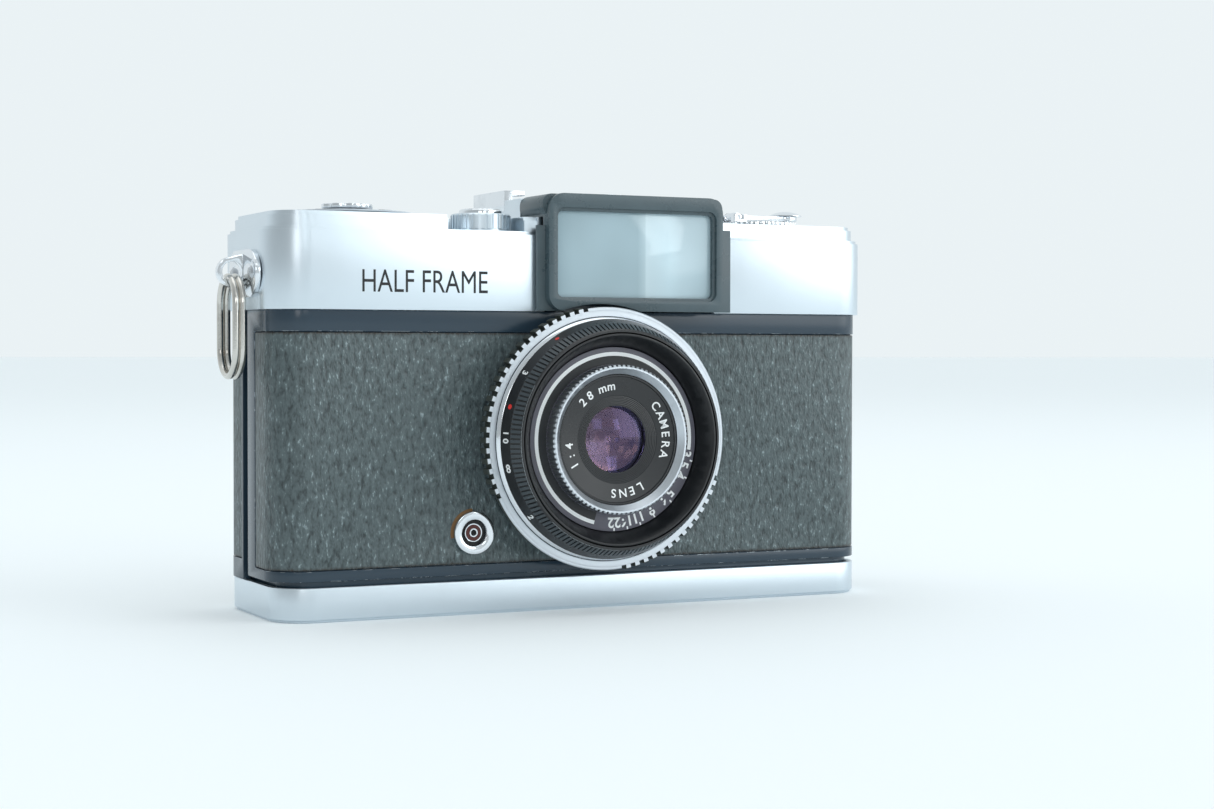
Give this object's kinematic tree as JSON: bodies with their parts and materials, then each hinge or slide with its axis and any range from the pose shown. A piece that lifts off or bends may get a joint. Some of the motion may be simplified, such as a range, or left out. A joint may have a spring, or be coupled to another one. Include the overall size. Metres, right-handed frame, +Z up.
{
  "type": "half frame camera",
  "caption": "Compact metal film camera with a leatherette front, wide finder window, ribbed lens rings, fold-out rewind crank, strap ring and a back that slides off with the base.",
  "frame": {"origin": "mouth of the tripod socket, in the bottom face of the base pan, below the middle of the body", "axes": "+X along the body towards the rewind crank, +Y to the rear (the lens looks along -Y), +Z up"},
  "size_m": [0.1119, 0.0401, 0.0679],
  "materials": {
    "casting_paint": "glossy blue-grey enamel on die-cast aluminium",
    "leatherette": "embossed grey-green leatherette",
    "cover_chrome": "satin chrome on brass sheet",
    "finder_plastic": "moulded dark grey plastic",
    "finder_glass": "coated finder glass",
    "lens_glass": "coated optical glass",
    "black_metal": "matt black lacquer",
    "black_anodised": "black anodised aluminium",
    "bright_chrome": "bright nickel-chrome plating",
    "satin_silver": "satin anodised aluminium",
    "scale_lacquer": "purple-grey lacquer with white figures",
    "brass": "plain brass",
    "steel": "plain steel",
    "dial_paint": "satin silver dial with figures",
    "black_plastic": "moulded black plastic",
    "wheel_plastic": "moulded dark plastic",
    "insulator": "red-brown phenolic"
  },
  "bodies": {
    "chassis": {"body_casting": "casting_paint", "front_leatherette": "leatherette", "film_rails": "steel", "top_cover": "cover_chrome", "finder_shroud": "finder_plastic", "finder_window": "finder_glass", "finder_tube": "black_plastic", "finder_rear_lens": "finder_glass", "eyepiece_frame": "finder_plastic", "accessory_shoe": "bright_chrome", "shoe_spring": "steel", "shoe_screws": "steel", "release_collar": "bright_chrome", "strap_lug": "bright_chrome", "lug_rivets": "steel", "sync_sleeve": "bright_chrome", "sync_insulator": "insulator", "sync_pin": "bright_chrome", "shutter_housing": "black_metal", "index_ring": "bright_chrome"},
    "release": {"release_button": "bright_chrome"},
    "counter": {"counter_dial": "dial_paint", "counter_knob": "bright_chrome"},
    "wind_wheel": {"thumb_wheel": "wheel_plastic", "wheel_gear": "brass"},
    "sprocket_unit": {"sprocket": "satin_silver", "sprocket_gear": "brass"},
    "spool": {"takeup_spool": "black_plastic"},
    "rewind_release": {"rewind_button": "steel"},
    "rewind_turner": {"rewind_bush": "brass"},
    "rewind": {"rewind_shaft": "steel", "rewind_knob": "bright_chrome"},
    "crank": {"crank_arm": "bright_chrome", "crank_finger": "bright_chrome"},
    "strap_ring": {"split_ring": "bright_chrome"},
    "shutter_leaf_1": {"shutter_blade_1": "steel"},
    "shutter_leaf_2": {"shutter_blade_2": "steel"},
    "speed": {"speed_ring": "satin_silver"},
    "lens_unit": {"lens_barrel": "black_metal", "front_cone": "black_metal", "lens_front_ring": "black_anodised", "front_glass": "lens_glass", "middle_glass": "lens_glass", "rear_glass": "lens_glass"},
    "focus": {"focus_ring": "black_anodised"},
    "aperture": {"aperture_scale": "scale_lacquer", "aperture_grip": "satin_silver"},
    "back_unit": {"base_pan": "cover_chrome", "back_cover": "casting_paint", "back_leatherette": "leatherette", "plate_springs": "steel", "tripod_bush": "steel"},
    "film_plate": {"pressure_plate": "black_metal"},
    "lock": {"lock_disc": "bright_chrome"},
    "lock_grip": {"lock_handle": "bright_chrome"},
    "iris_leaf_1": {"aperture_blade_1": "steel"},
    "iris_leaf_2": {"aperture_blade_2": "steel"},
    "iris_leaf_3": {"aperture_blade_3": "steel"},
    "iris_leaf_4": {"aperture_blade_4": "steel"},
    "iris_leaf_5": {"aperture_blade_5": "steel"}
  },
  "joints": [
    {"name": "shutter_release", "type": "slide", "parent": "chassis", "child": "release", "axis": [0, 0, -1], "range_m": [0, 0.002], "stiffness_N_per_m": 400, "springref_m": -0.003},
    {"name": "wind", "type": "hinge", "parent": "chassis", "child": "wind_wheel", "pos_m": [-0.032, 0.0046, 0.052], "axis": [0, 0, 1], "continuous": true},
    {"name": "sprocket_turn", "type": "hinge", "parent": "chassis", "child": "sprocket_unit", "pos_m": [-0.0185, 0.004, 0.03], "axis": [0, 0, 1], "continuous": true},
    {"name": "spool_turn", "type": "hinge", "parent": "chassis", "child": "spool", "pos_m": [-0.038, -0.0002, 0.03], "axis": [0, 0, 1], "continuous": true},
    {"name": "counter_turn", "type": "hinge", "parent": "chassis", "child": "counter", "pos_m": [-0.0369, -0.0012, 0.063], "axis": [0, 0, 1], "continuous": true},
    {"name": "rewind_release_press", "type": "slide", "parent": "chassis", "child": "rewind_release", "axis": [0, 0, 1], "range_m": [0, 0.0015], "stiffness_N_per_m": 200, "springref_m": -0.002},
    {"name": "rewind_turn", "type": "hinge", "parent": "chassis", "child": "rewind_turner", "pos_m": [0.038, -0.0002, 0.06], "axis": [0, 0, 1], "continuous": true},
    {"name": "rewind_lift", "type": "slide", "parent": "rewind_turner", "child": "rewind", "axis": [0, 0, 1], "range_m": [0, 0.006]},
    {"name": "crank_fold", "type": "hinge", "parent": "rewind", "child": "crank", "pos_m": [0.0338, -0.0002, 0.0647], "axis": [0, -1, 0], "range_deg": [0, 150]},
    {"name": "strap_ring_swing", "type": "hinge", "parent": "chassis", "child": "strap_ring", "pos_m": [-0.056, -0.002, 0.0536], "axis": [0, 1, 0], "range_deg": [-4, 100]},
    {"name": "shutter_open", "type": "hinge", "parent": "chassis", "child": "shutter_leaf_1", "pos_m": [0.0005, -0.0085, 0.018], "axis": [0, -1, 0], "range_deg": [0, 45], "stiffness_Nm_per_rad": 0.00002, "springref_deg": -28.65},
    {"name": "shutter_leaf_2_turn", "type": "hinge", "parent": "chassis", "child": "shutter_leaf_2", "pos_m": [0.0005, -0.0088, 0.037], "axis": [0, -1, 0], "range_deg": [0, 45]},
    {"name": "speed_turn", "type": "hinge", "parent": "chassis", "child": "speed", "pos_m": [0.0005, -0.0165, 0.0275], "axis": [0, -1, 0], "range_deg": [-60, 30]},
    {"name": "focus_travel", "type": "slide", "parent": "chassis", "child": "lens_unit", "axis": [0, -1, 0], "range_m": [-0.00055, 0.00091]},
    {"name": "focus_turn", "type": "hinge", "parent": "lens_unit", "child": "focus", "pos_m": [0.0005, -0.02, 0.0275], "axis": [0, -1, 0], "range_deg": [-32, 50]},
    {"name": "aperture_turn", "type": "hinge", "parent": "lens_unit", "child": "aperture", "pos_m": [0.0005, -0.022, 0.0275], "axis": [0, -1, 0], "range_deg": [-67, 8]},
    {"name": "iris_leaf_1_turn", "type": "hinge", "parent": "lens_unit", "child": "iris_leaf_1", "pos_m": [0.0031, -0.01565, 0.03549], "axis": [0, -1, 0], "range_deg": [-26, 4]},
    {"name": "iris_leaf_2_turn", "type": "hinge", "parent": "lens_unit", "child": "iris_leaf_2", "pos_m": [-0.0063, -0.01585, 0.03244], "axis": [0, -1, 0], "range_deg": [-26, 4]},
    {"name": "iris_leaf_3_turn", "type": "hinge", "parent": "lens_unit", "child": "iris_leaf_3", "pos_m": [-0.0063, -0.01605, 0.02256], "axis": [0, -1, 0], "range_deg": [-26, 4]},
    {"name": "iris_leaf_4_turn", "type": "hinge", "parent": "lens_unit", "child": "iris_leaf_4", "pos_m": [0.0031, -0.01625, 0.01951], "axis": [0, -1, 0], "range_deg": [-26, 4]},
    {"name": "iris_leaf_5_turn", "type": "hinge", "parent": "lens_unit", "child": "iris_leaf_5", "pos_m": [0.0089, -0.01645, 0.0275], "axis": [0, -1, 0], "range_deg": [-26, 4]},
    {"name": "back_slide", "type": "slide", "parent": "chassis", "child": "back_unit", "axis": [0, 0, 1], "range_m": [-0.07, 0]},
    {"name": "film_plate_press", "type": "slide", "parent": "back_unit", "child": "film_plate", "axis": [0, 1, 0], "range_m": [0, 0.0006], "stiffness_N_per_m": 1500, "springref_m": -0.0005},
    {"name": "lock_turn", "type": "hinge", "parent": "back_unit", "child": "lock", "pos_m": [-0.038, 0, 0.001], "axis": [0, 0, 1], "range_deg": [0, 180]},
    {"name": "lock_grip_fold", "type": "hinge", "parent": "lock", "child": "lock_grip", "pos_m": [-0.038, -0.0035, 0.0006], "axis": [-1, 0, 0], "range_deg": [0, 95]}
  ],
  "couplings": [
    {"joint": "sprocket_turn", "follows": "wind", "ratio": -1},
    {"joint": "spool_turn", "follows": "wind", "ratio": -1},
    {"joint": "counter_turn", "follows": "wind", "ratio": 0.027778},
    {"joint": "shutter_leaf_2_turn", "follows": "shutter_open", "ratio": 1},
    {"joint": "focus_turn", "follows": "focus_travel", "rad_per_m": 950.57},
    {"joint": "iris_leaf_1_turn", "follows": "aperture_turn", "ratio": 0.31},
    {"joint": "iris_leaf_2_turn", "follows": "aperture_turn", "ratio": 0.31},
    {"joint": "iris_leaf_3_turn", "follows": "aperture_turn", "ratio": 0.31},
    {"joint": "iris_leaf_4_turn", "follows": "aperture_turn", "ratio": 0.31},
    {"joint": "iris_leaf_5_turn", "follows": "aperture_turn", "ratio": 0.31}
  ]
}
